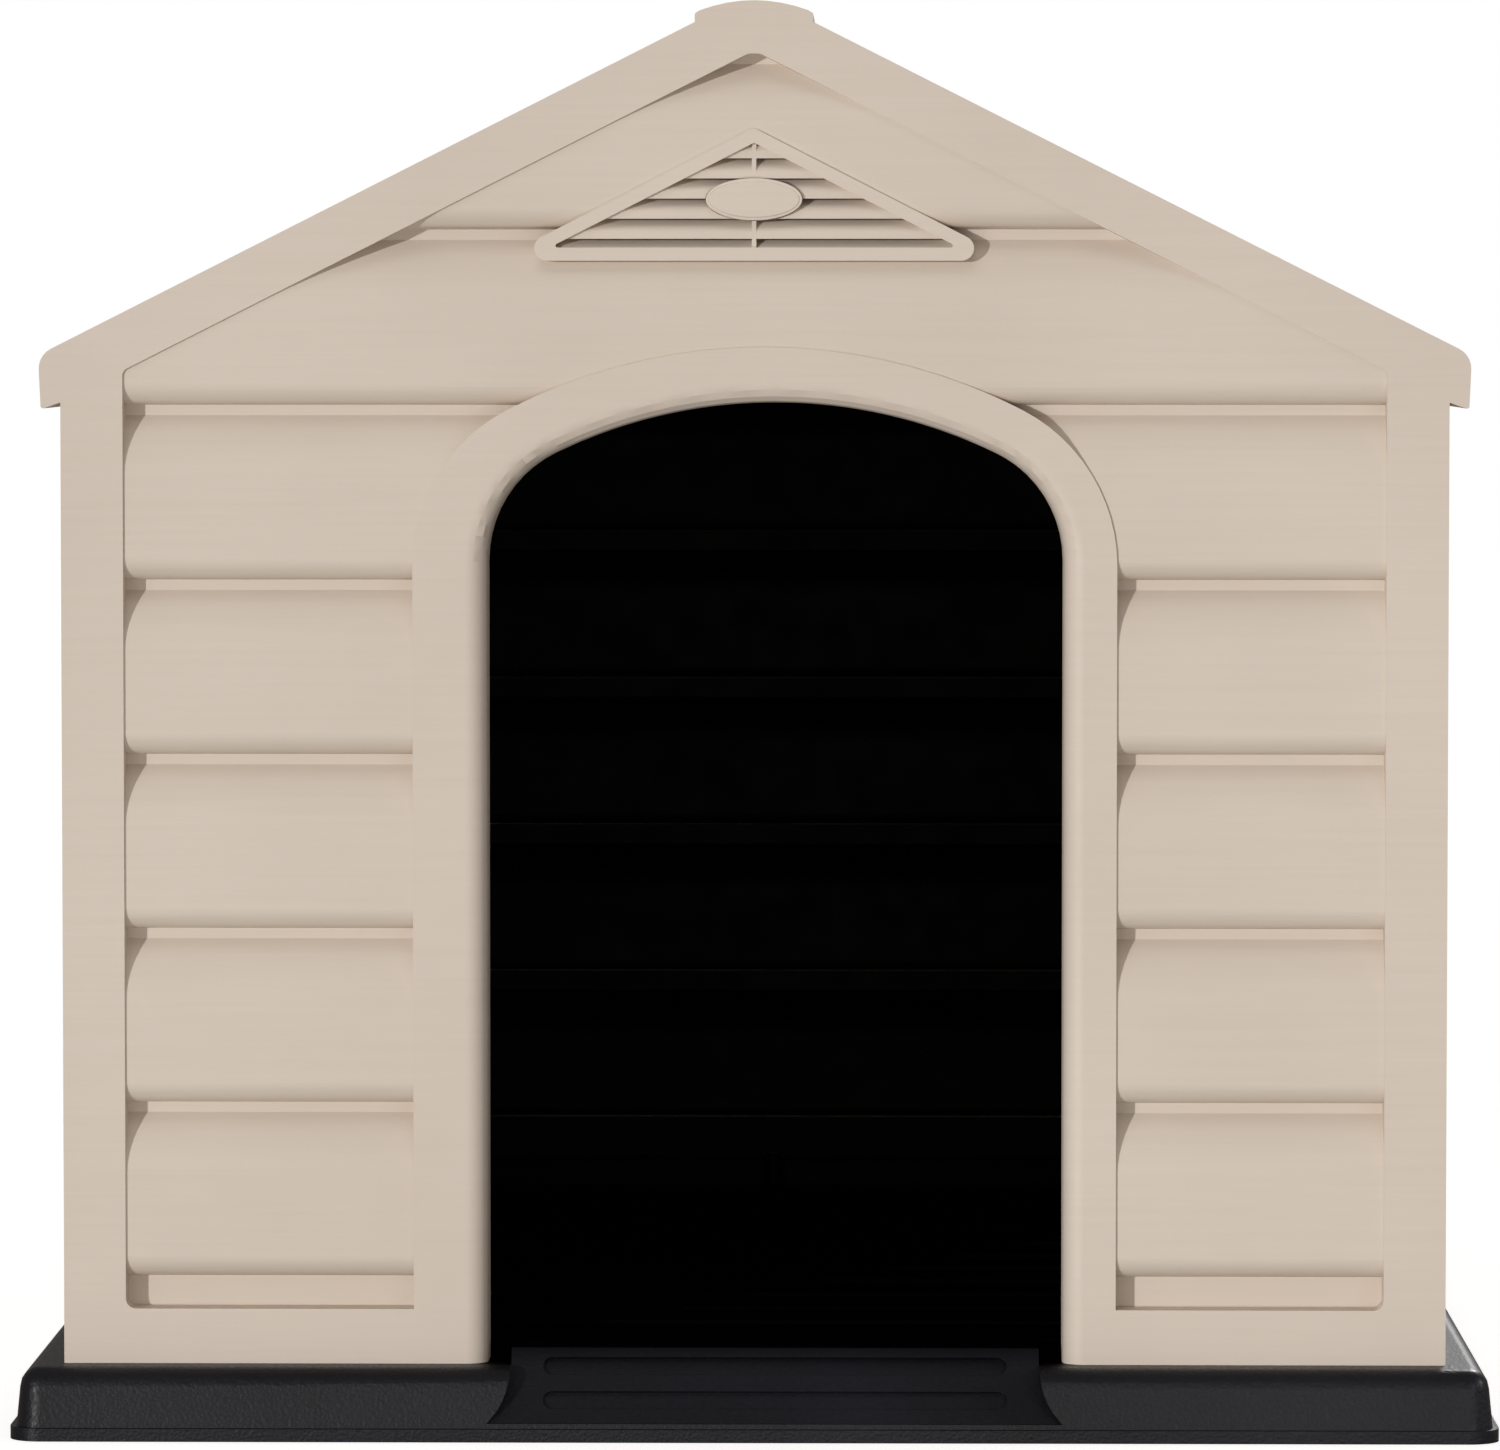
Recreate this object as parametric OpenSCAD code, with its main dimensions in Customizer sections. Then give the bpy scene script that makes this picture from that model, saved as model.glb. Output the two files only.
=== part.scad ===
// Small-animal hutch in moulded resin: a ribbed base tray, four clapboard wall panels with
// an arched doorway, a louvred vent in each gable, and a ridged roof that lifts off.
// Frame: origin on the ground under the middle of the tray, X across the front, Y from the
// door towards the back, Z up. The door faces -Y.

/* [Overall] */
// Width across the wall panels
body_w = 692; // [600:1:820]
// Depth over the two gable panels
body_d = 796; // [680:1:940]
// Height of the eaves above the ledge that the walls stand on
wall_h = 481.5; // [440:0.5:560]
// Pitch of the roof in degrees
roof_pitch = 26.8; // [23:0.1:30]

/* [Base tray] */
// Height of the ledge that the walls stand on
ledge_z = 36; // [30:1:44]
// How far the tray reaches past the walls
tray_lip = 26; // [20:1:34]
// Step from the ledge up to the cabin floor
floor_step = 8; // [5:1:12]
// Corner radius of the tray in plan
tray_r = 16; // [8:1:30]
// Thickness of the tray's skin
tray_skin = 5; // [4:0.5:7]
// Number of rib bays across the underside, an odd number
bays_x = 9; // [7:2:11]
// Number of rib bays along the underside, an odd number
bays_y = 11; // [9:2:13]
// Number of raised treads on the cabin floor
treads = 11; // [5:1:15]

/* [Wall panels] */
// Width of the flat frame at each end of a gable panel
pillar_w = 31; // [26:1:38]
// Width of the flat frame at each end of a side panel
side_frame_w = 22; // [20:1:30]
// Height of the flat rail along the bottom of every panel
rail_h = 27.5; // [22:0.5:34]
// Upright thickness of the sloping band along the top of a gable
band_h = 29; // [24:1:34]
// Skin thickness of the mouldings
skin = 4; // [3:0.5:5]
// Depth of the rims behind the front plane
panel_d = 32; // [30:1:40]

/* [Clapboards] */
// Pitch of the clapboard courses
course_h = 87.5; // [80:0.5:110]
// Height of the first clapboard's nose above the ledge
first_nose = 43; // [38:1:48]
// Depth of the neck under a nose
neck_d = 16; // [12:1:26]
// Set-back of the clapboard's face behind the frame
face_d = 1.5; // [0.5:0.5:4]
// Radius of the nose along the lower edge of a clapboard
nose_r = 11; // [7:1:13]
// Height of the upright neck under a nose
neck_h = 5.5; // [4:0.5:10]
// Height of the shoulder that swells out below the neck
shoulder_h = 29; // [22:1:34]

/* [Doorway] */
// Width of the doorway
door_w = 288; // [240:1:330]
// How far the doorway lies to the right of the gable's middle
door_x = 10.5; // [0:0.5:12]
// Radius of the rolled edge round the doorway
jamb_roll = 10.5; // [6:0.5:12]
// Width of the flat surround beside the doorway, its rolled edge left out
surround_w = 26.5; // [22:0.5:34]
// Height of the flat surround over the crown of the doorway
surround_h = 27.5; // [22:0.5:32]
// Radius of the crown of the arch
crown_r = 252; // [230:1:300]
// Radius of the haunches of the arch
haunch_r = 60; // [45:1:80]

/* [Vent] */
// Half the width of the vent's triangular opening
vent_half = 102; // [84:1:118]
// Height of the opening's lower edge above the eaves
vent_over = 77; // [60:0.5:90]
// Width of the vent's frame
vent_frame = 6.5; // [5:0.5:9]
// Pitch of the louvres
louvre_pitch = 10; // [8:0.5:12]
// Width of the oval badge
badge_w = 48; // [40:1:54]
// Height of the oval badge
badge_h = 21; // [16:1:23]

/* [Roof] */
// Overhang of the eaves past the side walls
eave_over = 11; // [9:1:16]
// Height of the eave's fascia above its lower tip
fascia_h = 27; // [22:1:32]
// Thickness of the roof sheet
roof_t = 5; // [4:0.5:6]
// Width of the domed cap along the ridge
cap_w = 59; // [50:1:70]
// Rise of the domed cap above the slopes at its edges
cap_rise = 10.8; // [8:0.1:13]
// Number of planks in each slope
planks = 5; // [3:1:7]

/* [Hidden] */
$fn = 64;
seam = 0.5; // visual seam between neighbouring mouldings
play = 0.6; // clearance between the lift-off roof and the walls
slope = tan(roof_pitch);
slope_len = 1 / cos(roof_pitch);
half_w = body_w / 2;
half_d = body_d / 2;
eave_z = ledge_z + wall_h;
eave_x = half_w + eave_over;
tip_drop = 3.5; // the eave's tip hangs this far below the notch at the wall
apex_z = eave_z - tip_drop + fascia_h + slope * eave_x;
floor_z = ledge_z + floor_step;
cap_base = apex_z - slope * cap_w / 2; // underside of the ridge cap
recess_z = ledge_z + rail_h;
recess_x = half_w - pillar_w;
door_half = door_w / 2;
door_top = eave_z;
surround_x = door_x - jamb_roll / 2;
surround_half = door_half + jamb_roll / 2 + surround_w;
vent_slope = 0.511; // rise over run of the vent's triangle
vent_base = eave_z + vent_over;
vent_apex = vent_base + vent_half * vent_slope;
vent_d = panel_d - 2;
badge_z = vent_base + 24;
badge_t = 4;
louvre_d = 2; // the slats' front edges behind the gable's face
louvre_back = 13;
mullion_w = 2.2;
side_len = body_d - 2 * panel_d - 2 * seam;
side_half = side_len / 2;
side_recess_y = side_half - side_frame_w;
side_top_z = apex_z - slope * half_w - roof_t * slope_len - play;
tray_half_x = half_w + tray_lip;
tray_half_y = half_d + tray_lip + 1;
bay_x = 2 * (tray_half_x - tray_skin - 1) / bays_x;
bay_y = 2 * (tray_half_y - tray_skin - 1) / bays_y;
rib_t = 4;
ramp_half = door_half - 12;
ramp_foot_z = 9;
ramp_run = tray_lip - 2;
ramp_top_y = 2 - half_d;
screw_d = 4; // shank of every self-tapping screw
head_d = 8.5;
head_h = 3;
pilot_d = 4; // the bosses' bores, cut to thread size by the screws
pass_d = 4.6; // clearance holes
boss_d = 12;
screw_len = 18;
tab_x = half_w - 46; // the corner tabs' screw line
side_margin = 20; // least height of the flat rail above a side panel's clapboards
side_courses = floor((side_top_z - side_margin - ledge_z - first_nose) / course_h);
tab_courses = [0, floor((side_courses - 1) / 2), side_courses - 1];
roof_y = half_d - panel_d - seam;
ridge_bolt_y = [for (k = [-0.75, -0.25, 0.25, 0.75]) k * roof_y]; // between the roof's ribs
bolt_d = 5;
flange_h = 26;
flange_t = 4;
bolt_z = cap_base - roof_t - flange_h + 9;
lap_t = 4; // thickness of the ledge that the roof's ends rest over
lap_reach = 12;
tab_w = 60; // the roof's locating tabs, which drop through slots in the wall tops
tab_t = 4;

// ---- colours
module cream() color([0.82, 0.77, 0.72]) children();
module charcoal() color([0.17, 0.165, 0.19]) children();
module steel() color([0.72, 0.73, 0.75]) children();

// ---- outline helpers
function unit(v) = v / norm(v);
function signed(a) = a > 180 ? a - 360 : a < -180 ? a + 360 : a;

// Points of the fillet of radius r at corner b between a and c
function fillet(a, b, c, r) =
    let (u = unit(a - b), v = unit(c - b), half = acos(u * v) / 2,
        centre = b + unit(u + v) * r / sin(half),
        from = b + u * r / tan(half) - centre, to = b + v * r / tan(half) - centre,
        start = atan2(from.y, from.x), sweep = signed(atan2(to.y, to.x) - start),
        steps = max(2, ceil(abs(sweep) / 15)))
    [for (i = [0:steps]) centre + r * [cos(start + sweep * i / steps), sin(start + sweep * i / steps)]];

// Closed outline from [x, y, corner radius] entries
function rounded(pts) =
    [for (i = [0:len(pts) - 1])
        let (a = pts[(i + len(pts) - 1) % len(pts)], b = pts[i], c = pts[(i + 1) % len(pts)])
        each (b.z == 0 ? [[b.x, b.y]]
            : fillet([a.x, a.y], [b.x, b.y], [c.x, c.y], b.z))];

function mirrored(pts) =
    concat(pts, [for (i = [len(pts) - 1:-1:0]) [-pts[i].x, pts[i].y, pts[i].z]]);

// ---- extrusion helpers, in a panel's own frame: X along it, Y into it from its face, Z up
module slab(from, to) translate([0, to, 0]) rotate([90, 0, 0]) linear_extrude(to - from) children();
module along(length) rotate([90, 0, 90]) linear_extrude(length, center = true) children();
module at_front() translate([0, -half_d, 0]) children();
module at_rear() rotate([0, 0, 180]) translate([0, -half_d, 0]) children();
module at_right() rotate([0, 0, 90]) translate([0, -half_w, 0]) children();
module at_left() rotate([0, 0, -90]) translate([0, -half_w, 0]) children();

// ---- clapboard sheet
function neck_x(s) = face_d + (neck_d - face_d) * s * s;

// Face of one course from its nose at height z up to the neck above, stepped back by t
function course(z, t, steps) =
    let (top = z + course_h - neck_h - t / 2, cx = face_d + nose_r, r = nose_r - t)
    concat([[neck_d + t, z + t]],
        [for (i = [0:steps]) [cx - r * sin(90 * i / steps), z + nose_r - r * cos(90 * i / steps)]],
        [for (i = [0:steps]) [neck_x(i / steps) + t, top - shoulder_h * (1 - i / steps)]],
        [[neck_d + t, z + course_h + t]]);

function courses(count, t, steps) =
    [for (k = [0:count - 1]) each course(ledge_z + first_nose + k * course_h, t, steps)];

module clapboard_2d(count) {
    inner = courses(count, skin, 5);
    polygon(concat([[neck_d, recess_z - skin / 2]], courses(count, 0, 7),
        [for (i = [len(inner) - 1:-1:0]) inner[i]],
        [[neck_d + skin, recess_z - skin / 2]]));
}

// ---- gable outlines
// Whole silhouette of a gable panel, drawn in by inset along the walls and slopes
module gable_2d(inset = 0) {
    x = eave_x - inset;
    wall = half_w - inset;
    rise = apex_z - inset * slope_len;
    tip = inset == 0 ? 1.2 : 0;
    cap_x = cap_w / 2;
    polygon(rounded(mirrored([
        [wall, ledge_z + inset, 0],
        [wall, eave_z + inset, 0],
        [x - tip, eave_z + (inset == 0 ? -tip_drop : inset), tip],
        [x, rise - slope * x, 11 - inset],
        [cap_x, rise - slope * cap_x, 0]])));
    dome_2d(inset);
}

// Low dome along the ridge, standing a step above the slopes
module dome_2d(inset = 0) {
    x = cap_w / 2 - inset;
    top = cap_base + cap_rise - inset;
    steps = 8;
    bow = 5;
    crown = [for (i = [0:steps]) let (s = 1 - 2 * i / steps) [s * (x - 2.5), top - bow * s * s, 0]];
    polygon(rounded(concat([[x, cap_base - inset - 1, 0], [x, top - bow - 1.5, 1.5]], crown,
        [[-x, top - bow - 1.5, 1.5], [-x, cap_base - inset - 1, 0]])));
}

// Opening of the frame that the clapboards fill, grown outwards by grow
module recess_2d(grow = 0) {
    x = recess_x + grow;
    rise = apex_z - band_h + grow * slope_len;
    polygon(rounded(mirrored([
        [x, recess_z - grow, 5 + grow],
        [x, rise - slope * x, 4 + grow],
        [3, rise - slope * 3, 6]])));
}

// Flattened three-centred arch about the line x
module arch_2d(x, half, crown, r_crown, r_haunch) translate([x, 0]) {
    hx = half - r_haunch;
    cz = crown - r_crown;
    hz = cz + sqrt(pow(r_crown - r_haunch, 2) - hx * hx);
    reach = 1.3 * r_crown / (r_crown - r_haunch);
    translate([-half, ledge_z - 1]) square([2 * half, hz - ledge_z + 1]);
    for (side = [-1, 1]) translate([side * hx, hz]) circle(r_haunch);
    intersection() {
        translate([0, cz]) circle(r_crown, $fn = 128);
        polygon([[0, cz], [reach * hx, cz + reach * (hz - cz)], [-reach * hx, cz + reach * (hz - cz)]]);
    }
}

module doorway_2d(grow = 0)
    arch_2d(door_x, door_half + grow, door_top + grow, crown_r + grow, haunch_r + grow);

module surround_2d(grow = 0)
    arch_2d(surround_x, surround_half + grow, door_top + surround_h + grow,
        crown_r + surround_h + grow, haunch_r + surround_h + grow);

// Hollow that rolls the doorway's front edge back in equal turns of a quarter circle
module doorway_roll() {
    turns = 4;
    function turn_y(i) = jamb_roll * (1 - cos(90 * i / turns));
    function turn_x(i) = jamb_roll * (1 - sin(90 * i / turns));
    for (i = [0:turns - 1]) hull() {
        slab(turn_y(i) - (i == 0 ? 1 : 0.01), turn_y(i)) doorway_2d(turn_x(i));
        slab(turn_y(i + 1), turn_y(i + 1) + 0.01) doorway_2d(turn_x(i + 1));
    }
}

// Band under the slopes between two upright drops below the roof line
module chevron_2d(top_drop, low_drop, reach)
    polygon([[-reach, apex_z - top_drop - slope * reach], [0, apex_z - top_drop],
        [reach, apex_z - top_drop - slope * reach], [reach, apex_z - low_drop - slope * reach],
        [0, apex_z - low_drop], [-reach, apex_z - low_drop - slope * reach]]);

// Triangle of the vent, grown outwards by grow
module vent_2d(grow = 0) {
    corner = vent_half + grow / tan(atan(vent_slope) / 2);
    polygon(rounded([
        [-corner, vent_base - grow, 1 + grow * 0.8],
        [corner, vent_base - grow, 1 + grow * 0.8],
        [0, vent_base - grow + corner * vent_slope, 1 + grow * 0.5]]));
}

module boss(len) rotate([-90, 0, 0]) cylinder(d = boss_d, h = len);

// ---- gable panels
module gable_panel(has_door) {
    difference() {
        union() {
            slab(0, skin) difference() {
                gable_2d();
                gable_window_2d(has_door, 0);
            }
            slab(0, panel_d) difference() {
                gable_2d();
                gable_2d(skin);
            }
            slab(0, neck_d + skin) intersection() {
                gable_2d(skin / 2);
                difference() {
                    gable_window_2d(has_door, skin);
                    gable_window_2d(has_door, 0);
                }
            }
            intersection() {
                along(2 * recess_x + 2 * skin) clapboard_2d(8);
                slab(0, panel_d) gable_window_2d(has_door, skin / 2);
            }
            roof_lap();
            corner_bosses();
            foot_bosses(has_door ? [-1, 1] : [-1, 0, 1], 3 * bay_x);
            if (has_door) {
                slab(0, panel_d) doorway_2d(skin);
                slab(0, jamb_roll + skin) doorway_2d(jamb_roll + skin);
            }
        }
        slab(-1, panel_d + 1) vent_2d(vent_frame);
        slab(-1, panel_d + 1) translate([-body_w, ledge_z - 20]) square([2 * body_w, 20]);
        corner_pilots();
        foot_pilots(has_door ? [-1, 1] : [-1, 0, 1], 3 * bay_x);
        if (has_door) {
            slab(-1, panel_d + 1) doorway_2d();
            doorway_roll();
        }
    }
}

module gable_window_2d(has_door, grow) difference() {
    recess_2d(grow);
    if (has_door) surround_2d(-grow);
}

// Ledge behind the slopes that the ends of the roof sheets rest over
module roof_lap() {
    drop = (roof_t + play) * slope_len;
    reach = half_w - 14;
    slab(panel_d - lap_t, panel_d) difference() {
        chevron_2d(1, drop + lap_t, reach);
        translate([-cap_w / 2, cap_base]) square([cap_w, 60]);
    }
    slab(panel_d - lap_t, panel_d + lap_reach) difference() {
        chevron_2d(drop, drop + lap_t, reach);
        translate([-cap_w / 2 - 4, cap_base - 20]) square([cap_w + 8, 60]);
    }
}

// Places along the corner tabs' screw line, at mid-height of alternate courses
module at_tabs() for (side = [-1, 1], k = tab_courses)
    translate([side * tab_x, 0, ledge_z + first_nose + (k + 0.36) * course_h]) children();

module corner_bosses() at_tabs() translate([0, face_d + skin - 1, 0]) boss(panel_d - face_d - skin + 1);
module corner_pilots() at_tabs() translate([0, panel_d - screw_len + skin, 0]) rotate([-90, 0, 0])
    cylinder(d = pilot_d, h = screw_len);

// Places along a panel's foot, a whole number of the tray's bays from its middle
module at_feet(steps, pitch) for (i = steps)
    translate([i * pitch, panel_d / 2, ledge_z]) children();

module foot_bosses(steps, pitch) at_feet(steps, pitch) cylinder(d = boss_d, h = rail_h - skin / 2);
module foot_pilots(steps, pitch) at_feet(steps, pitch) translate([0, 0, -1])
    cylinder(d = pilot_d, h = screw_len - tray_skin + 1);

module front_panel() cream() at_front() gable_panel(true);
module rear_panel() cream() at_rear() gable_panel(false);

// ---- side panels
module side_2d(inset = 0) translate([-side_half + inset, ledge_z + inset])
    square([side_len - 2 * inset, side_top_z - ledge_z - 2 * inset]);

module side_recess_2d(grow = 0) {
    top = ledge_z + first_nose + side_courses * course_h;
    polygon(rounded(mirrored([
        [side_recess_y + grow, recess_z - grow, 5 + grow],
        [side_recess_y + grow, top + grow, 4 + grow]])));
}

module side_panel() {
    difference() {
        union() {
            slab(0, skin) difference() {
                side_2d();
                side_recess_2d();
            }
            slab(0, neck_d + skin) difference() {
                side_2d();
                side_2d(skin);
            }
            slab(0, neck_d + skin) difference() {
                side_recess_2d(skin);
                side_recess_2d();
            }
            intersection() {
                along(2 * side_recess_y + skin) clapboard_2d(side_courses);
                slab(0, panel_d) side_recess_2d(skin / 2);
            }
            foot_bosses([-1, 0, 1], 3 * bay_y);
            side_tabs();
        }
        foot_pilots([-1, 0, 1], 3 * bay_y);
        at_roof_tabs() translate([-tab_w / 2 - play, skin, side_top_z - skin - 1])
            cube([tab_w + 2 * play, tab_t + 2 * play, skin + 2]);
    }
}

module at_roof_tabs() for (k = [-1, 0, 1]) translate([k * 0.5 * roof_y, 0, 0]) children();

// Drilled tabs that lap the backs of the gable panels at the corners
module side_tabs() for (end = [-1, 1], k = tab_courses)
    translate([end * (side_half - skin / 2), 0, ledge_z + first_nose + (k + 0.36) * course_h])
        difference() {
            translate([-skin / 2, neck_d, -20]) cube([skin, half_w - tab_x + 11 - neck_d, 40]);
            translate([0, half_w - tab_x, 0]) rotate([0, 90, 0])
                cylinder(d = pass_d, h = 3 * skin, center = true);
        }

module right_panel() cream() at_right() side_panel();
module left_panel() cream() at_left() side_panel();

// ---- vents
// One slat: upright along its lower edge, then curling back under the slat above
module louvre_2d() {
    lip = 3.2;
    steps = 6;
    face = [for (i = [0:steps]) let (t = i / steps)
        [louvre_d + (louvre_back - louvre_d) * pow(t, 1.7), lip + (louvre_pitch - lip + 1) * t]];
    polygon(concat([[louvre_d, 0]], face, [for (i = [steps:-1:0]) face[i] + [2, -1]], [[louvre_d + 2, 0]]));
}

module vent_grille() {
    difference() {
        union() {
            slab(-seam, vent_d) difference() {
                vent_2d(vent_frame);
                vent_2d();
            }
            intersection() {
                slab(0, vent_d) vent_2d(1);
                for (k = [0:5]) translate([0, 0, vent_base + (k - 0.56) * louvre_pitch])
                    along(2 * vent_half) louvre_2d();
            }
            slab(louvre_d, louvre_back) intersection() {
                vent_2d(1);
                translate([-mullion_w / 2, vent_base - 1]) square([mullion_w, vent_half]);
            }
            slab(badge_t - seam, louvre_back) badge_2d(-3);
        }
        slab(-2, badge_t - seam) badge_2d(0.3);
    }
}

// Ellipse of the badge
module badge_2d(grow = 0) {
    steps = 72;
    polygon([for (i = [1:steps]) let (a = 360 * i / steps)
        [(badge_w / 2 + grow) * cos(a), badge_z + (badge_h / 2 + grow) * sin(a)]]);
}

module vent_badge() {
    slab(-2 * seam, badge_t - seam) badge_2d();
    slab(-2 * seam - 0.8, 0) badge_2d(-1.5);
}

module front_vent_grille() cream() at_front() vent_grille();
module rear_vent_grille() cream() at_rear() vent_grille();
module front_vent_badge() cream() at_front() vent_badge();
module rear_vent_badge() cream() at_rear() vent_badge();

// ---- roof, drawn in the XZ plane for its right half
module over_roof(length) rotate([90, 0, 0]) linear_extrude(length, center = true) children();

// Right half of the sheet with its eave, and with its ridge flange if flanged
module roof_2d(flanged) {
    t = roof_t * slope_len;
    x = eave_x;
    inner_x = eave_x - skin;
    cap_x = cap_w / 2;
    tip_z = eave_z - tip_drop;
    polygon(rounded([
        [seam / 2, cap_base, 0],
        [cap_x, cap_base, 0],
        [x, apex_z - slope * x, 11],
        [x, tip_z, 1],
        [inner_x, tip_z + 1, 1],
        [inner_x, apex_z - t - slope * inner_x, 6],
        [cap_x, cap_base - t, 0],
        [seam / 2 + flange_t, cap_base - t, 0],
        [seam / 2 + flange_t, cap_base - t - (flanged ? flange_h : 0), 0],
        [seam / 2, cap_base - t - (flanged ? flange_h : 0), 0]]));
}

module roof_half() {
    plank = 2 * roof_y / planks;
    difference() {
        union() {
            over_roof(2 * roof_y) roof_2d(false);
            over_roof(2 * (roof_y - lap_reach - 8)) roof_2d(true);
            rotate([0, 0, 90]) at_roof_tabs() rotate([0, 0, -90]) {
                over_roof(skin) roof_rib_2d();
                over_roof(tab_w) roof_tab_2d();
            }
        }
        for (k = [1:planks - 1]) translate([0, -roof_y + k * plank, apex_z])
            rotate([0, roof_pitch, 0]) translate([(cap_w / 2 + 12) * slope_len, -3, -1.6])
                cube([(eave_x - cap_w / 2 - 26) * slope_len, 6, 20]);
        for (y = ridge_bolt_y) translate([0, y, bolt_z]) rotate([0, 90, 0])
            cylinder(d = bolt_d, h = 4 * flange_t, center = true);
    }
}

// Stiffening rib across the underside of one slope
module roof_rib_2d() {
    high = cap_w / 2;
    low = half_w - 26;
    top = apex_z - (roof_t - 1) * slope_len;
    polygon([[high, top - slope * high], [low, top - slope * low], [low, top - slope * low - 6],
        [low - 30, top - slope * (low - 30) - 16], [high, top - slope * high - 18],
        [seam / 2 + 1, top - slope * high - 18], [seam / 2 + 1, top - slope * high]]);
}

// Tab inside the wall's top that keeps the roof from sliding sideways
module roof_tab_2d() {
    x = half_w - skin - play - tab_t;
    top = apex_z - (roof_t - 1) * slope_len - slope * x;
    polygon([[x, top], [x + tab_t, top - tab_t * slope], [x + tab_t, side_top_z - skin - 8],
        [x, side_top_z - skin - 12]]);
}

module roof_right() cream() roof_half();
module roof_left() cream() mirror([1, 0, 0]) roof_half();

// Domed cap over the joint between the roof halves, a shell with a middle web
module ridge_cap() cream() over_roof(2 * roof_y) intersection() {
    union() {
        difference() {
            dome_2d();
            dome_2d(3);
        }
        translate([-6, cap_base]) square([12, cap_rise - 2]);
    }
    translate([-cap_w, cap_base]) square([2 * cap_w, 60]);
}

// ---- base tray
module plan_2d(inset, r) {
    x = tray_half_x - inset - r;
    y = tray_half_y - inset - r;
    square([2 * x, 2 * (y + r)], center = true);
    square([2 * (x + r), 2 * y], center = true);
    for (sx = [-1, 1], sy = [-1, 1]) translate([sx * x, sy * y]) circle(r);
}

module layer(z, h, inset) translate([0, 0, z]) linear_extrude(h) plan_2d(inset, tray_r - inset);

// Solid envelope of the tray: drip lip, battered side and rolled top edge
module tray_body() {
    layer(0, 6.5, 0);
    hull() {
        layer(6, 0.1, 3);
        layer(ledge_z - 10, 0.1, 5);
        layer(ledge_z - 6, 0.1, 5.9);
        layer(ledge_z - 3, 0.1, 8);
        layer(ledge_z - 1, 0.1, 11);
        layer(ledge_z - 0.1, 0.1, 14.5);
    }
}

// The floor inside the walls, reaching out through the doorway
module floor_plan() {
    x = half_w - panel_d - 5;
    y = half_d - panel_d - 5;
    difference() {
        square([2 * x, 2 * y], center = true);
        for (side = [-1, 1]) translate([side * tab_x, 0]) square([30, body_d], center = true);
    }
    translate([door_x - ramp_half, ramp_top_y]) square([2 * ramp_half, half_d]);
}

module tray_ribs() {
    for (i = [1:bays_x - 1]) translate([(i - bays_x / 2) * bay_x - rib_t / 2, -tray_half_y + 8, 0])
        cube([rib_t, 2 * tray_half_y - 16, ledge_z - 2]);
    for (i = [1:bays_y - 1]) translate([-tray_half_x + 8, (i - bays_y / 2) * bay_y - rib_t / 2, 0])
        cube([2 * tray_half_x - 16, rib_t, ledge_z - 2]);
}

// Front view of the ramp's channel, flaring towards the ground
module ramp_flare_2d() {
    flare = 16;
    steps = 8;
    sides = [for (i = [0:steps]) [ramp_half + flare * pow(i / steps, 3),
        floor_z - (floor_z - ramp_foot_z + 4) * i / steps]];
    low = ramp_half + flare;
    polygon(concat([[ramp_half, floor_z + 20]], sides, [[low, 0], [-low, 0]],
        [for (i = [steps:-1:0]) [-sides[i].x, sides[i].y]], [[-ramp_half, floor_z + 20]]));
}

// The air over the ramp, between its channel's sides
module ramp_cut() translate([door_x, 0, 0]) intersection() {
    along(body_w) polygon([[ramp_top_y, floor_z], [ramp_top_y - ramp_run, ramp_foot_z],
        [ramp_top_y - ramp_run - 20, ramp_foot_z], [ramp_top_y - ramp_run - 20, floor_z + 20],
        [ramp_top_y, floor_z + 20]]);
    translate([0, -half_d, 0]) slab(-60, 60) ramp_flare_2d();
}

// The ramp's slope carried up from the ledge to the cabin floor
module ramp_head() translate([door_x, 0, 0]) along(2 * ramp_half)
    polygon([[ramp_top_y + 1, ledge_z - 1], [ramp_top_y + 1, floor_z], [ramp_top_y, floor_z],
        [ramp_top_y - ramp_run * (floor_step + 1) / (floor_z - ramp_foot_z), ledge_z - 1]]);

// Two long grooves with round ends, sunk square to the ramp
module ramp_grooves() {
    rise = floor_z - ramp_foot_z;
    groove_w = 10;
    groove_half = ramp_half - 16 - groove_w / 2;
    for (at = [0.24, 0.69]) translate([door_x, ramp_top_y - ramp_run * at, floor_z - rise * at])
        rotate([atan2(rise, ramp_run), 0, 0]) translate([0, 0, -2.4]) linear_extrude(20) {
            square([2 * groove_half, groove_w], center = true);
            for (side = [-1, 1]) translate([side * groove_half, 0]) circle(d = groove_w);
        }
}

module at_base_screws() {
    translate([0, -half_d, 0]) at_feet([-1, 1], 3 * bay_x) children();
    rotate([0, 0, 180]) translate([0, -half_d, 0]) at_feet([-1, 0, 1], 3 * bay_x) children();
    for (turn = [-90, 90]) rotate([0, 0, turn]) translate([0, -half_w, 0])
        at_feet([-1, 0, 1], 3 * bay_y) children();
}

module base_tray() charcoal() difference() {
    union() {
        difference() {
            union() {
                tray_body();
                translate([0, 0, ledge_z - 1]) linear_extrude(floor_step + 1) floor_plan();
                ramp_head();
            }
            translate([0, 0, -1]) linear_extrude(ledge_z - tray_skin + 1) plan_2d(tray_skin + 5, 8);
        }
        intersection() {
            tray_body();
            union() {
                tray_ribs();
                translate([door_x, 0, 0]) along(door_w + 40) ramp_skin_2d();
            }
        }
        for (k = [0:treads - 1]) translate([0, (k - (treads - 1) / 2) * (body_d - 150) / treads, floor_z + 0.5])
            cube([body_w - 170, 12, 3], center = true);
    }
    ramp_cut();
    ramp_grooves();
    at_base_screws() translate([0, 0, -10]) cylinder(d = pass_d, h = 20);
}

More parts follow.
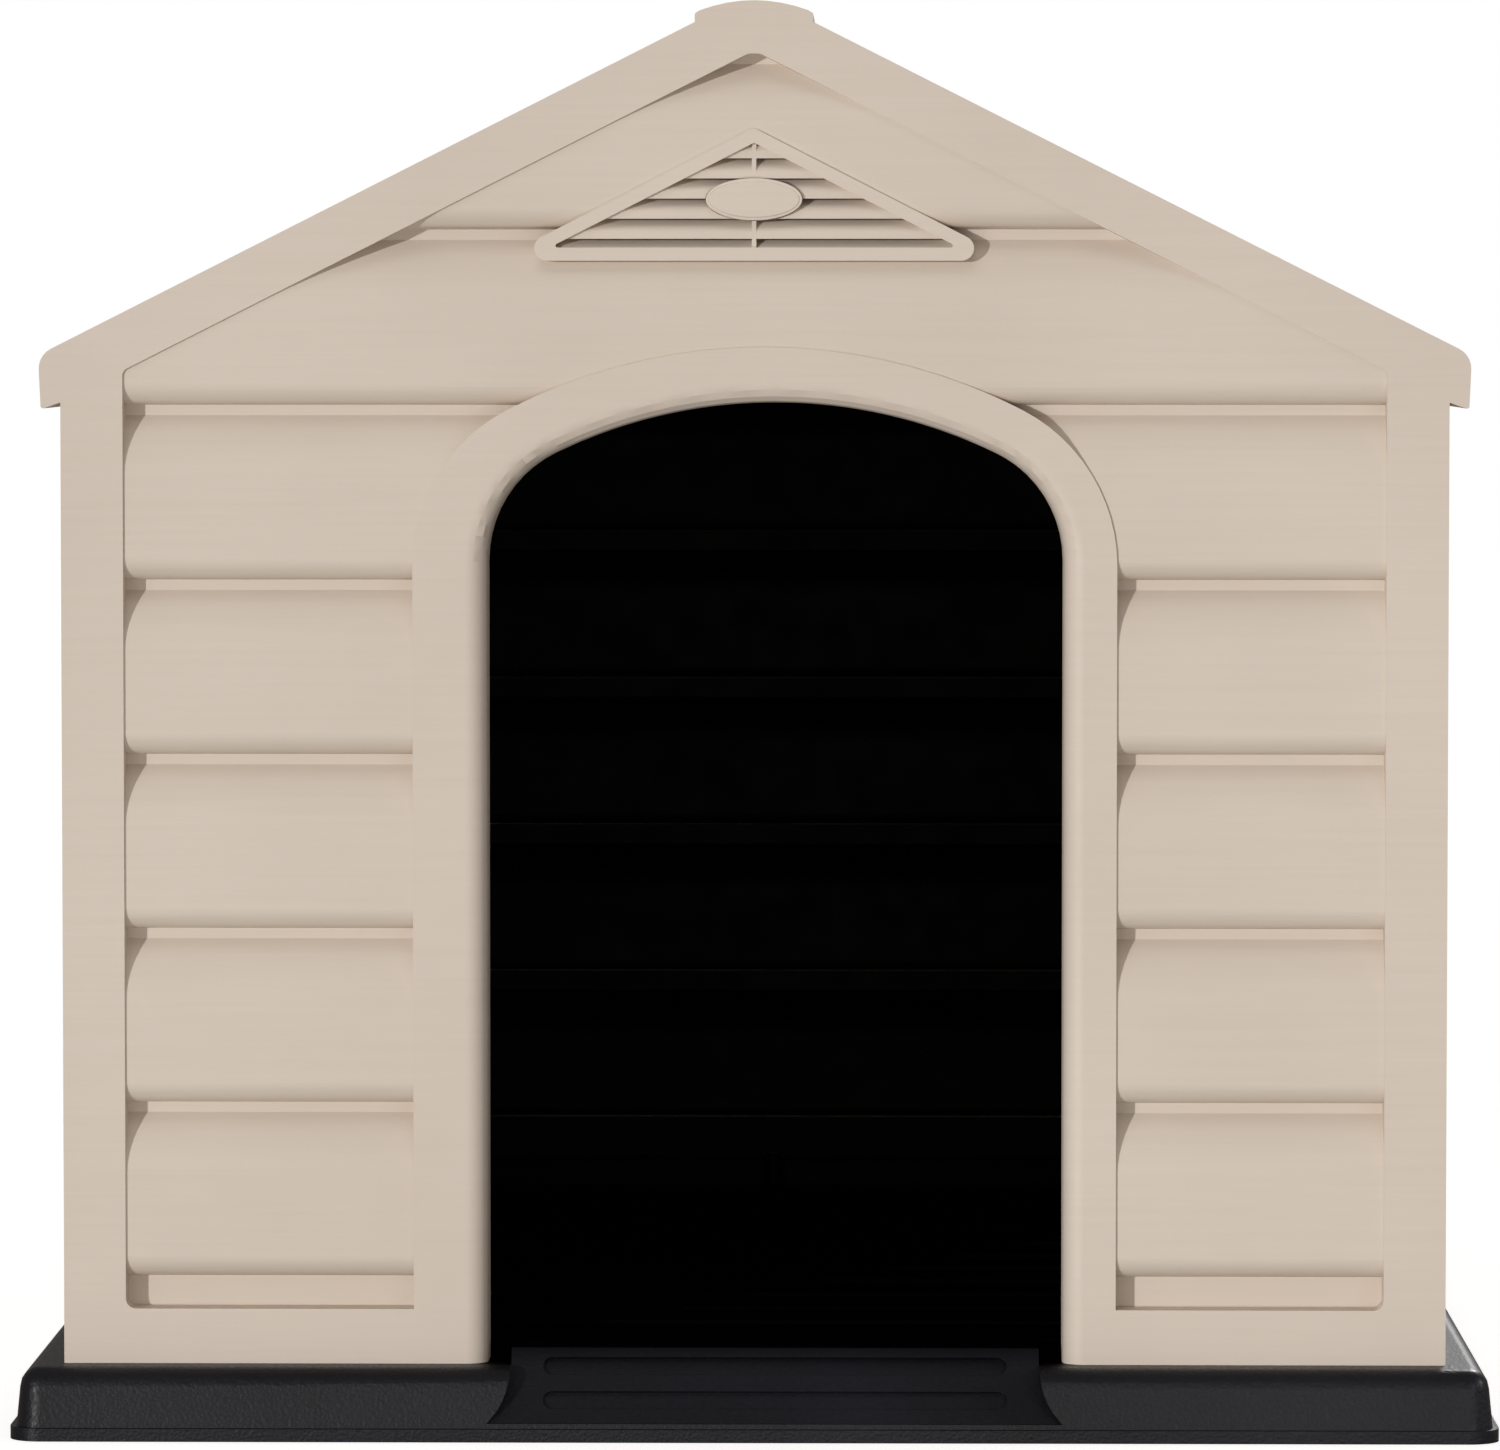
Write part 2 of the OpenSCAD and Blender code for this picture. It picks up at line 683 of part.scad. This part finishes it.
// Skin carried under the ramp so that the channel doesn't open into the ribs
module ramp_skin_2d() difference() {
    translate([-tray_half_y, 2]) square([tray_lip + 26, ledge_z - 3]);
    translate([0, -7]) ramp_under_2d();
}

module ramp_under_2d() polygon([[ramp_top_y + 24, 0], [ramp_top_y + 24, floor_z - 1],
    [ramp_top_y, floor_z - 1], [ramp_top_y - ramp_run + 3, ramp_foot_z], [ramp_top_y - ramp_run + 3, 0]]);

// ---- fasteners
module screw() {
    translate([0, 0, -head_h]) cylinder(d = head_d, h = head_h);
    cylinder(d = screw_d, h = screw_len);
}

module corner_screws() steel() for (turn = [0, 180]) rotate([0, 0, turn]) at_front() at_tabs()
    translate([0, panel_d + seam + skin, 0]) rotate([90, 0, 0]) screw();

module base_screws() steel() at_base_screws() translate([0, 0, -tray_skin]) screw();

module ridge_bolts() steel() for (y = ridge_bolt_y) translate([-flange_t - seam / 2, y, bolt_z])
    rotate([0, 90, 0]) {
        translate([0, 0, -3]) cylinder(d = 9, h = 3);
        cylinder(d = bolt_d, h = 2 * flange_t + seam + 6);
    }

module ridge_nuts() steel() for (y = ridge_bolt_y) translate([flange_t + seam / 2, y, bolt_z])
    rotate([0, 90, 0]) difference() {
        cylinder(d = 9.2, h = 4, $fn = 6);
        translate([0, 0, -1]) cylinder(d = bolt_d, h = 6);
    }

base_tray();
front_panel();
rear_panel();
left_panel();
right_panel();
front_vent_grille();
rear_vent_grille();
front_vent_badge();
rear_vent_badge();
roof_left();
roof_right();
ridge_cap();
corner_screws();
base_screws();
ridge_bolts();
ridge_nuts();
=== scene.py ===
import math

import bpy
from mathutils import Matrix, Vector


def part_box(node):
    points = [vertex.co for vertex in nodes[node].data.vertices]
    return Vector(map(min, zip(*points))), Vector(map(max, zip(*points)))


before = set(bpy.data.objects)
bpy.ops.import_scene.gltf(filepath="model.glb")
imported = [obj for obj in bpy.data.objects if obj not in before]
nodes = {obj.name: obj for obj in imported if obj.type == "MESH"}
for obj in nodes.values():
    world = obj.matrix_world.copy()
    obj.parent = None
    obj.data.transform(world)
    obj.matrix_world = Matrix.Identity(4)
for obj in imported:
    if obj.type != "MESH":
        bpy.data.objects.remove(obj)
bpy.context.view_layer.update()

# Node names by what they are made as
GABLES = ("front_panel", "rear_panel")
SIDES = ("left_panel", "right_panel")
ROOF = ("roof_left", "roof_right", "ridge_cap")
TRIM = ("front_vent_grille", "rear_vent_grille", "front_vent_badge", "rear_vent_badge")
FASTENERS = ("corner_screws", "base_screws", "ridge_bolts", "ridge_nuts")
TRAY = ("base_tray",)
ALL = GABLES + SIDES + ROOF + TRIM + FASTENERS + TRAY

# Width of the rolled edges in metres
PANEL_ROLL = 0.0016
TRIM_ROLL = 0.0006
TRAY_ROLL = 0.002
FASTENER_ROLL = 0.0003

# Corners closer than this many metres are one, and the angles in degrees up to which two faces count as flat
# and from which their edge counts as sharp
WELD_GAP = 0.00002
FLAT_ANGLE = 0.4
SHARP_ANGLE = 38

# Half width and half depth of the cabin between its walls, its floor's lowest height, and how far outside them
# the painted shade on its floor fades out, in metres
CABIN_X = 0.33
CABIN_Y = 0.392
CABIN_Z = 0.03
CABIN_FADE = 0.01

WHITE = (1, 1, 1, 1)


# ---- shader helpers
def srgb(*levels):
    """Linear RGBA of an sRGB colour given in 0-255."""
    shares = [level / 255 for level in levels]
    return (*[share / 12.92 if share < 0.04 else ((share + 0.055) / 1.055) ** 2.4 for share in shares], 1)


# Near-black painted shade for faces inside the cabin, where only shade falls
PAINTED_SHADE = srgb(4, 4, 4)


class Shader:
    """A material under construction: a Principled BSDF and the nodes that feed it."""

    def __init__(self, name):
        self.material = bpy.data.materials.new(name)
        self.material.use_nodes = True
        self.tree = self.material.node_tree
        self.bsdf = self.tree.nodes["Principled BSDF"]
        self.place = self.add("ShaderNodeTexCoord").outputs["Object"]

    def add(self, kind, **settings):
        """A new node of a kind, with its settings."""
        node = self.tree.nodes.new(kind)
        for key, value in settings.items():
            setattr(node, key, value)
        return node

    def link(self, source, target):
        self.tree.links.new(source, target)

    def stretched(self, scale):
        """Object coordinates scaled per axis, for grain that runs one way."""
        mapping = self.add("ShaderNodeMapping")
        mapping.inputs["Scale"].default_value = scale
        self.link(self.place, mapping.inputs["Vector"])
        return mapping.outputs["Vector"]

    def noise(self, scale, detail, vector=None, roughness=0.5):
        """Noise with so many features to the metre."""
        node = self.add("ShaderNodeTexNoise")
        node.inputs["Scale"].default_value = scale
        node.inputs["Detail"].default_value = detail
        node.inputs["Roughness"].default_value = roughness
        self.link(vector or self.place, node.inputs["Vector"])
        return node.outputs["Fac"]

    def cells(self, scale):
        """Rounded cells, so many to the metre."""
        node = self.add("ShaderNodeTexVoronoi", feature="SMOOTH_F1")
        node.inputs["Scale"].default_value = scale
        self.link(self.place, node.inputs["Vector"])
        return node.outputs["Distance"]

    def spread(self, factor, low, high, new_low, new_high):
        """Takes low..high to new_low..new_high, and holds what lies beyond."""
        node = self.add("ShaderNodeMapRange")
        for key, value in zip(("From Min", "From Max", "To Min", "To Max"), (low, high, new_low, new_high)):
            node.inputs[key].default_value = value
        self.link(factor, node.inputs["Value"])
        return node.outputs["Result"]

    def times(self, first, second):
        """Product of two sockets."""
        node = self.add("ShaderNodeMath", operation="MULTIPLY")
        self.link(first, node.inputs[0])
        self.link(second, node.inputs[1])
        return node.outputs[0]

    def blend(self, factor, first, second):
        """Colour that goes from first to second; either may be a colour or a socket."""
        node = self.add("ShaderNodeMix", data_type="RGBA")
        self.link(factor, node.inputs["Factor"])
        for value, socket in ((first, node.inputs["A"]), (second, node.inputs["B"])):
            if isinstance(value, tuple):
                socket.default_value = value
            else:
                self.link(value, socket)
        return node.outputs["Result"]

    def bump(self, height, depth, strength, normal=None):
        """Relief of the given depth in metres, laid over an earlier normal if there is one."""
        node = self.add("ShaderNodeBump")
        node.inputs["Strength"].default_value = strength
        node.inputs["Distance"].default_value = depth
        self.link(height, node.inputs["Height"])
        if normal:
            self.link(normal, node.inputs["Normal"])
        return node.outputs["Normal"]


def facing(s, axis):
    """1 where the surface looks out along one axis and 0 where it looks back into the cabin, where shade is
    painted.
    """
    geometry = s.add("ShaderNodeNewGeometry")
    normal = s.add("ShaderNodeSeparateXYZ")
    place = s.add("ShaderNodeSeparateXYZ")
    s.link(geometry.outputs["Normal"], normal.inputs[0])
    s.link(geometry.outputs["Position"], place.inputs[0])
    outward = s.times(normal.outputs[axis], place.outputs[axis])
    return s.spread(outward, -0.05, -0.03, 0, 1)


def within(s, place, reach):
    """1 up to so far from the middle of the hutch, and 0 a little further out."""
    distance = s.add("ShaderNodeMath", operation="ABSOLUTE")
    s.link(place, distance.inputs[0])
    return s.spread(distance.outputs[0], reach, reach + CABIN_FADE, 1, 0)


def in_cabin(s):
    """1 on the cabin floor and its treads, where shade is painted, and 0 on the rest of the tray."""
    place = s.add("ShaderNodeSeparateXYZ")
    s.link(s.add("ShaderNodeNewGeometry").outputs["Position"], place.inputs[0])
    above = s.spread(place.outputs["Z"], CABIN_Z, CABIN_Z + CABIN_FADE / 5, 0, 1)
    walled = s.times(within(s, place.outputs["X"], CABIN_X), within(s, place.outputs["Y"], CABIN_Y))
    return s.times(walled, above)


def cream_resin(name, axis=None):
    """Warm cream polypropylene: satin, faintly streaked along the boards, with a fine moulded grain.

    Along the given axis, faces that look into the cabin are coloured near-black, a painted shade for the unlit
    inside."""
    s = Shader(name)
    mottle = s.spread(s.noise(5, 4), 0.3, 0.7, 0, 1)
    streaks = s.noise(1, 4, s.stretched((9, 9, 420)), 0.6)
    colour = s.blend(mottle, srgb(212, 198, 184), srgb(218, 205, 191))
    shade = s.spread(streaks, 0.35, 0.75, 0, 0.28)
    colour = s.blend(shade, colour, srgb(206, 191, 175))
    if axis is not None:
        # Painted shade: faces that look into the cabin are coloured near-black
        colour = s.blend(facing(s, axis), PAINTED_SHADE, colour)
    s.link(colour, s.bsdf.inputs["Base Color"])
    s.link(s.spread(s.noise(60, 3), 0.3, 0.7, 0.48, 0.6), s.bsdf.inputs["Roughness"])
    swell = s.bump(s.noise(14, 2), 0.0006, 0.35)
    grained = s.bump(streaks, 0.0002, 0.35, swell)
    s.link(s.bump(s.noise(1500, 2), 0.00008, 0.6, grained), s.bsdf.inputs["Normal"])
    s.bsdf.inputs["Specular IOR Level"].default_value = 0.3
    return s.material


def charcoal_resin():
    """Near-black polypropylene with a leather grain, with painted shade on the cabin floor, where its gloss is
    also taken off.
    """
    s = Shader("charcoal_resin")
    tone = s.spread(s.noise(9, 4), 0.3, 0.7, 0, 1)
    colour = s.blend(tone, srgb(15, 14, 18), srgb(24, 23, 29))
    inside = in_cabin(s)
    # Painted shade: the cabin floor and its treads are coloured near-black
    s.link(s.blend(inside, colour, PAINTED_SHADE), s.bsdf.inputs["Base Color"])
    s.link(s.spread(inside, 0, 1, 0.22, 0), s.bsdf.inputs["Specular IOR Level"])
    s.link(s.spread(s.noise(420, 3), 0.3, 0.7, 0.34, 0.5), s.bsdf.inputs["Roughness"])
    pebbles = s.bump(s.cells(620), 0.00025, 0.7)
    s.link(s.bump(s.noise(2200, 2), 0.00006, 0.5, pebbles), s.bsdf.inputs["Normal"])
    return s.material


def zinc_steel():
    """Zinc-plated screws and bolts, with a faint passivated mottling."""
    s = Shader("zinc_steel")
    s.link(s.blend(s.noise(700, 3), srgb(176, 178, 180), srgb(205, 203, 196)), s.bsdf.inputs["Base Color"])
    s.link(s.spread(s.noise(1300, 2), 0.3, 0.7, 0.28, 0.45), s.bsdf.inputs["Roughness"])
    s.link(s.bump(s.noise(2600, 2), 0.00003, 0.4), s.bsdf.inputs["Normal"])
    s.bsdf.inputs["Metallic"].default_value = 1.0
    return s.material


def floor_paint():
    """Pale floor that shows as bright as the backdrop, but lights the part only by what falls on it."""
    s = Shader("floor_paint")
    s.link(s.blend(s.noise(3, 3), srgb(246, 246, 246), srgb(250, 250, 250)), s.bsdf.inputs["Base Color"])
    s.bsdf.inputs["Roughness"].default_value = 0.8
    glow = s.add("ShaderNodeEmission")
    glow.inputs["Strength"].default_value = 0.8
    both = s.add("ShaderNodeAddShader")
    s.link(s.bsdf.outputs[0], both.inputs[0])
    s.link(glow.outputs[0], both.inputs[1])
    choose = s.add("ShaderNodeMixShader")
    s.link(s.add("ShaderNodeLightPath").outputs["Is Camera Ray"], choose.inputs[0])
    s.link(s.bsdf.outputs[0], choose.inputs[1])
    s.link(both.outputs[0], choose.inputs[2])
    s.link(choose.outputs[0], s.tree.nodes["Material Output"].inputs["Surface"])
    return s.material


# ---- CAD nodes
def paint(names, material):
    for name in names:
        slots = nodes[name].data.materials
        slots.clear()
        slots.append(material)


def soften(name, width, segments):
    """Rolls the sharp edges of a CAD node as a mould does, with smooth shading over its curved faces."""
    node = nodes[name]
    node.data.polygons.foreach_set("use_smooth", [True] * len(node.data.polygons))
    weld = node.modifiers.new("weld", "WELD")
    weld.merge_threshold = WELD_GAP
    flat = node.modifiers.new("flat", "DECIMATE")
    flat.decimate_type = "DISSOLVE"
    flat.angle_limit = math.radians(FLAT_ANGLE)
    roll = node.modifiers.new("roll", "BEVEL")
    roll.width = width
    roll.segments = segments
    roll.limit_method = "ANGLE"
    roll.angle_limit = math.radians(SHARP_ANGLE)
    roll.use_clamp_overlap = True
    roll.harden_normals = False
    even = node.modifiers.new("even", "WEIGHTED_NORMAL")
    even.keep_sharp = False
    even.weight = 100


# ---- studio
def light_only(light, names):
    """Limits a light to the named nodes."""
    group = bpy.data.collections.new(light.name + "_lit")
    for name in names:
        group.objects.link(nodes[name])
    light.light_linking.receiver_collection = group


def add_light(name, place, aim, size, power, lit):
    """Soft box of the given width and height, falling on the named nodes only."""
    data = bpy.data.lights.new(name, "AREA")
    data.shape = "RECTANGLE"
    data.size, data.size_y = size
    data.energy = power
    light = bpy.data.objects.new(name, data)
    light.location = place
    light.rotation_euler = (Vector(aim) - Vector(place)).to_track_quat("-Z", "Y").to_euler()
    bpy.context.scene.collection.objects.link(light)
    light_only(light, lit)


def add_sun(name, azimuth, elevation, width, strength, lit):
    """Distant light from an azimuth and elevation in degrees, falling on the named nodes only."""
    data = bpy.data.lights.new(name, "SUN")
    data.angle = math.radians(width)
    data.energy = strength
    light = bpy.data.objects.new(name, data)
    a, e = math.radians(azimuth), math.radians(elevation)
    source = Vector((math.sin(a) * math.cos(e), -math.cos(a) * math.cos(e), math.sin(e)))
    light.rotation_euler = source.to_track_quat("Z", "Y").to_euler()
    bpy.context.scene.collection.objects.link(light)
    light_only(light, lit)


def add_floor():
    mesh = bpy.data.meshes.new("floor")
    reach = 14
    corners = [(-reach, -reach, 0), (reach, -reach, 0), (reach, reach, 0), (-reach, reach, 0)]
    mesh.from_pydata(corners, [], [(0, 1, 2, 3)])
    mesh.materials.append(floor_paint())
    floor = bpy.data.objects.new("floor", mesh)
    bpy.context.scene.collection.objects.link(floor)


def add_world(seen, lit):
    """A backdrop that is white as seen, and lights the scene more weakly and a little warmer."""
    world = bpy.data.worlds.new("studio")
    world.use_nodes = True
    tree = world.node_tree
    back = tree.nodes["Background"]
    back.inputs["Color"].default_value = (1, 0.95, 0.9, 1)
    back.inputs["Strength"].default_value = lit
    backdrop = tree.nodes.new("ShaderNodeBackground")
    backdrop.inputs["Color"].default_value = WHITE
    backdrop.inputs["Strength"].default_value = seen
    ray = tree.nodes.new("ShaderNodeLightPath")
    choose = tree.nodes.new("ShaderNodeMixShader")
    tree.links.new(ray.outputs["Is Camera Ray"], choose.inputs[0])
    tree.links.new(back.outputs[0], choose.inputs[1])
    tree.links.new(backdrop.outputs[0], choose.inputs[2])
    tree.links.new(choose.outputs[0], tree.nodes["World Output"].inputs["Surface"])
    bpy.context.scene.world = world


def add_camera():
    """Long lens, square to the doorway and a little below the ridge."""
    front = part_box("front_panel")[0].y
    distance, frame_width = 4.0, 0.7485  # metres
    sensor = 36  # millimetres
    aim = Vector((-0.002, front, 0.3567))
    place = Vector((0.06, front - distance, 0.56))
    data = bpy.data.cameras.new("camera")
    data.sensor_width = sensor
    data.lens = sensor * (place - aim).length / frame_width
    data.clip_end = 60
    camera = bpy.data.objects.new("camera", data)
    camera.location = place
    camera.rotation_euler = (aim - place).to_track_quat("-Z", "Y").to_euler()
    bpy.context.scene.collection.objects.link(camera)
    bpy.context.scene.camera = camera


def all_but(*names):
    return [name for name in ALL if name not in names]


paint(GABLES, cream_resin("cream_resin_gables", "Y"))
paint(SIDES, cream_resin("cream_resin_sides", "X"))
paint(ROOF + TRIM, cream_resin("cream_resin"))
paint(TRAY, charcoal_resin())
paint(FASTENERS, zinc_steel())
for names, width, segments in (
    (GABLES + SIDES + ROOF, PANEL_ROLL, 3),
    (TRIM, TRIM_ROLL, 2),
    (TRAY, TRAY_ROLL, 3),
    (FASTENERS, FASTENER_ROLL, 2),
):
    for name in names:
        soften(name, width, segments)

add_floor()
add_world(1.0, 0.25)
# The key leaves out the panels that its light would reach through the doorway, so the inside stays dark
front_lit = all_but("rear_panel", "right_panel")
outer_lit = all_but("front_panel", "left_panel")
# A sun takes its azimuth, elevation and width in degrees, a soft box its place, aim and size in metres
add_sun("key", -32, 4, 1.2, 1.58, front_lit)
add_light("top", (-0.5, -2.0, 3.2), (0, -0.2, 0.4), (2.4, 1.6), 13, all_but("base_tray"))
add_light("low", (0.2, -1.9, 0.04), (0, -0.4, 0.5), (2.6, 0.08), 6.5, front_lit)
add_light("rim", (1.6, -2.6, 0.9), (0.2, -0.4, 0.03), (0.4, 0.9), 7, TRAY)
add_sun("rear", 165, 30, 12, 1.5, ALL)
add_sun("side", 85, 25, 12, 0.9, outer_lit)
add_sun("far", -110, 25, 12, 1.0, ("rear_panel", "rear_vent_grille", "rear_vent_badge"))
add_camera()
bpy.context.scene.view_settings.view_transform = "Standard"
